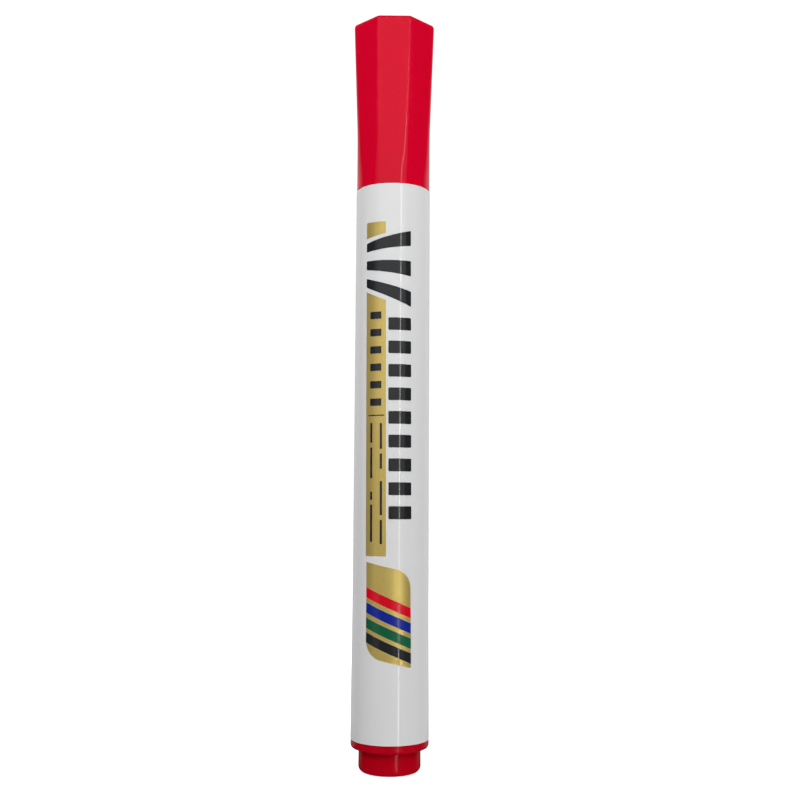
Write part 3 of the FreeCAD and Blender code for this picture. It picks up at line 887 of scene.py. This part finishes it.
world = bpy.data.worlds.new("studio")
world.use_nodes = True
scene.world = world
tree = world.node_tree
tree.nodes.clear()
out = tree.nodes.new("ShaderNodeOutputWorld")
path = tree.nodes.new("ShaderNodeLightPath")
white, dim, mix = tree.nodes.new("ShaderNodeBackground"), tree.nodes.new("ShaderNodeBackground"), tree.nodes.new("ShaderNodeMixShader")
white.inputs["Strength"].default_value = 1.05
white.inputs["Color"].default_value = (1, 1, 1, 1)
dim.inputs["Color"].default_value = (1, 1, 1, 1)
dim.inputs["Strength"].default_value = 0.012
tree.links.new(path.outputs["Is Camera Ray"], mix.inputs["Fac"])
tree.links.new(dim.outputs[0], mix.inputs[1])
tree.links.new(white.outputs[0], mix.inputs[2])
tree.links.new(mix.outputs[0], out.inputs["Surface"])


def soft_panel(name, az0, az1, distance, levels, radiance, soft=(6, 1), dip=None):
    """An emitting panel facing the marker, from azimuth az0 to az1 in degrees (0 is -Y, positive towards +X), whose
    left and right edges fade over soft degrees. levels are its heights with its brightness at each of them. dip is
    (azimuth, half width, top) of a darker patch low on the panel. Seen in reflections and lighting the marker,
    unseen by the camera."""
    m = Nodes(name)
    attribute = m.new("ShaderNodeAttribute", attribute_name="glow")
    emit = m.new("ShaderNodeEmission")
    m.link(m.maths("MULTIPLY", attribute.outputs["Fac"], radiance), emit.inputs["Strength"])
    m.link(emit.outputs[0], m.out.inputs["Surface"])
    az = [az0, az0 + soft[0] * 0.5, az0 + soft[0]] + np.linspace(az0 + soft[0], az1 - soft[1], 26)[1:-1].tolist() + [az1 - soft[1], az1 - soft[1] * 0.5, az1]
    glow = np.outer([0, 0.5, 1] + [1] * 24 + [1, 0.5, 0], [g for _, g in levels])
    if dip:
        for i, a in enumerate(az):
            for j, (z, _) in enumerate(levels):
                across = min(1.0, max(0.0, (dip[1] + 3.0 - abs(a - dip[0])) / 6.0))
                glow[i, j] *= 1.0 - 0.95 * across * min(1.0, max(0.0, (dip[2] + 0.03 - z) / 0.03))
    co, faces, n = [], [], len(levels)
    for a in az:
        x, y = distance * math.sin(a * RAD), -distance * math.cos(a * RAD)
        co += [(x, y, z) for z, _ in levels]
    for i in range(len(az) - 1):
        for j in range(n - 1):
            faces.append((n * i + j, n * i + j + 1, n * i + n + j + 1, n * i + n + j))
    mesh = bpy.data.meshes.new(name)
    mesh.from_pydata(co, [], faces)
    mesh.attributes.new("glow", "FLOAT", "POINT").data.foreach_set(
        "value", glow.astype(np.float32).ravel())
    mesh.materials.append(m.mat)
    ob = bpy.data.objects.new(name, mesh)
    scene.collection.objects.link(ob)
    ob.visible_camera = False
    ob.visible_shadow = False
    return ob


FRONT = ((-0.080, 0.0), (-0.055, 0.25), (-0.03, 0.42), (0.0, 0.5), (0.025, 0.54), (0.05, 0.6), (0.10, 0.8), (0.20, 1.0), (0.50, 1.0))
EVEN = ((-0.20, 1.0), (0.50, 1.0))
soft_panel("panel_front", -62, 41, 0.42, FRONT, 0.72, (18, 1.5), (-14.0, 20.0, 0.025))
soft_panel("panel_strip", 23.7, 25.3, 0.415, EVEN, 12.5, (0.1, 0.1))
soft_panel("panel_back", 108, 252, 0.42, ((-0.095, 0.0), (-0.07, 1.0), (0.50, 1.0)), 0.60, (22, 22))


def lamp(name, azimuth, distance, height, size, watts, aim=0.075):
    data = bpy.data.lights.new(name, "AREA")
    data.shape = "RECTANGLE"
    data.size, data.size_y = size
    data.energy = watts
    data.cycles.use_multiple_importance_sampling = False      # keeps the lamp out of reflections altogether
    ob = bpy.data.objects.new(name, data)
    scene.collection.objects.link(ob)
    ob.location = (distance * math.sin(azimuth * RAD), -distance * math.cos(azimuth * RAD), height)
    ob.rotation_mode = "QUATERNION"
    ob.rotation_quaternion = (Vector((0, 0, aim)) - ob.location).to_track_quat("-Z", "Y")
    ob.visible_camera = False
    ob.visible_glossy = False
    return ob


HIGH = {22.5: 0.21, 67.5: 0.19, 112.5: 0.268, 157.5: 0.20, 202.5: 0.20, 247.5: 0.168, 292.5: 0.295, 337.5: 0.217}
LOW = {67.5: 0.105, 112.5: 0.055, 157.5: 0.06, 202.5: 0.06, 247.5: 0.03, 337.5: 0.050}
for az, watts in HIGH.items():
    lamp("high_%d" % az, az, 0.28, 0.24, (0.21, 0.12), watts)
for az, watts in LOW.items():
    lamp("low_%d" % az, az, 0.24, -0.10, (0.18, 0.16), watts, 0.02)
lamp("under", 0, 0.03, -0.25, (0.12, 0.12), 0.34, 0.0)

# ================================================================ camera
b, r, a = 0.09944402516295066, 0.0059, 0.00823181259071852
forward = Vector((math.sin(a) * math.cos(b), math.cos(a) * math.cos(b), math.sin(b)))
side = Vector((math.cos(a), -math.sin(a), 0.0))
above = side.cross(forward)
right = side * math.cos(r) + above * math.sin(r)
top = -side * math.sin(r) + above * math.cos(r)
data = bpy.data.cameras.new("camera")
data.sensor_width = 36.0
data.lens = 36.0 * 1078.8 / 800.0
data.shift_x = -0.0009
data.clip_start, data.clip_end = 0.005, 20.0
camera = bpy.data.objects.new("camera", data)
scene.collection.objects.link(camera)
camera.matrix_world = Matrix((
    (right.x, top.x, -forward.x, 0.0),
    (right.y, top.y, -forward.y, -0.199425),
    (right.z, top.z, -forward.z, 0.046978),
    (0, 0, 0, 1)))
scene.camera = camera
scene.view_settings.view_transform = "Standard"
scene.view_settings.look = "None"
